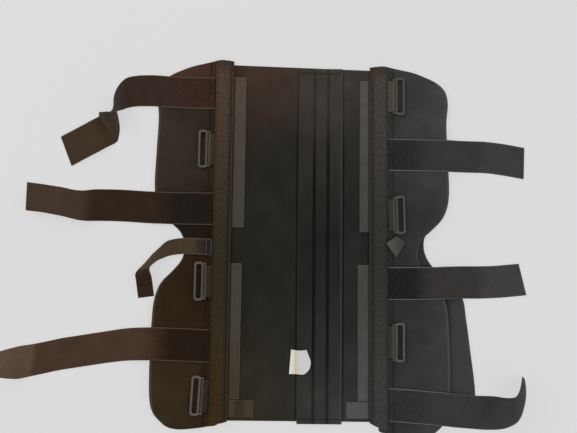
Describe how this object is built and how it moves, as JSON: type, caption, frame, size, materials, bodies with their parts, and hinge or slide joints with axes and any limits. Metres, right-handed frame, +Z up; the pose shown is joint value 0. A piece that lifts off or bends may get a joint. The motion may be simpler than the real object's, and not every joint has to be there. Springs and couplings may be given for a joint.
{
  "type": "knee immobilizer",
  "caption": "Dark fabric knee immobilizer lying open, with a padded base, a pocket of stays, side panels with stay sleeves, strap rings and fastening straps.",
  "frame": {"origin": "On the underside of the base panel, midway along its length and under the middle of the stay pocket", "axes": "+X to the right side panel, +Y along the leg to the calf end, +Z up out of the outer face"},
  "size_m": [0.8218, 0.5816, 0.0504],
  "materials": {
    "padded_fabric": "matt brushed loop-pile laminate over foam",
    "side_panel_fabric": "matt brushed loop-pile laminate over foam",
    "webbing": "ribbed woven webbing",
    "hook_fastener": "short stiff hook pile",
    "strap_fabric": "soft brushed pile webbing",
    "dark_metal": "dark semi-gloss coating",
    "label_cloth": "thin white woven label, bare"
  },
  "bodies": {
    "brace": {"base_panel": "padded_fabric", "stay_pocket": "padded_fabric", "left_wing": "side_panel_fabric", "left_stay_sleeve": "webbing", "left_upper_hook_strip": "hook_fastener", "left_lower_hook_strip": "hook_fastener", "left_end_tab": "hook_fastener", "left_keeper_1": "webbing", "left_strap_1": "strap_fabric", "left_keeper_2": "webbing", "left_strap_2": "strap_fabric", "left_keeper_3": "webbing", "left_strap_3": "strap_fabric", "right_wing": "side_panel_fabric", "right_stay_sleeve": "webbing", "right_upper_hook_strip": "hook_fastener", "right_lower_hook_strip": "hook_fastener", "right_end_tab": "hook_fastener", "right_keeper_1": "webbing", "right_strap_1": "strap_fabric", "right_keeper_2": "webbing", "right_strap_2": "strap_fabric", "right_keeper_3": "webbing", "right_strap_3": "strap_fabric", "knee_strap": "strap_fabric", "knee_tab": "hook_fastener", "knee_loop": "dark_metal", "label": "label_cloth"},
    "left_ring_1": {"left_ring_1": "dark_metal"},
    "left_ring_2": {"left_ring_2": "dark_metal"},
    "left_ring_3": {"left_ring_3": "dark_metal"},
    "right_ring_1": {"right_ring_1": "dark_metal"},
    "right_ring_2": {"right_ring_2": "dark_metal"},
    "right_ring_3": {"right_ring_3": "dark_metal"}
  },
  "joints": [
    {"name": "left_ring_1_turn", "type": "hinge", "parent": "brace", "child": "left_ring_1", "pos_m": [-0.17389, 0.14258, 0.01305], "axis": [0.0052, 1, 0], "range_deg": [0, 120]},
    {"name": "left_ring_2_turn", "type": "hinge", "parent": "brace", "child": "left_ring_2", "pos_m": [-0.17657, -0.0631, 0.01305], "axis": [0.0052, 1, 0], "range_deg": [0, 120]},
    {"name": "left_ring_3_turn", "type": "hinge", "parent": "brace", "child": "left_ring_3", "pos_m": [-0.17828, -0.2368, 0.01305], "axis": [0.0489, 0.9988, 0], "range_deg": [0, 120]},
    {"name": "right_ring_1_turn", "type": "hinge", "parent": "brace", "child": "right_ring_1", "pos_m": [0.114, 0.2288, 0.01305], "axis": [0, -1, 0], "range_deg": [0, 120]},
    {"name": "right_ring_2_turn", "type": "hinge", "parent": "brace", "child": "right_ring_2", "pos_m": [0.1144, 0.0416, 0.01305], "axis": [0.0262, -0.9997, 0], "range_deg": [0, 120]},
    {"name": "right_ring_3_turn", "type": "hinge", "parent": "brace", "child": "right_ring_3", "pos_m": [0.113, -0.1536, 0.01305], "axis": [0, -1, 0], "range_deg": [0, 120]}
  ]
}
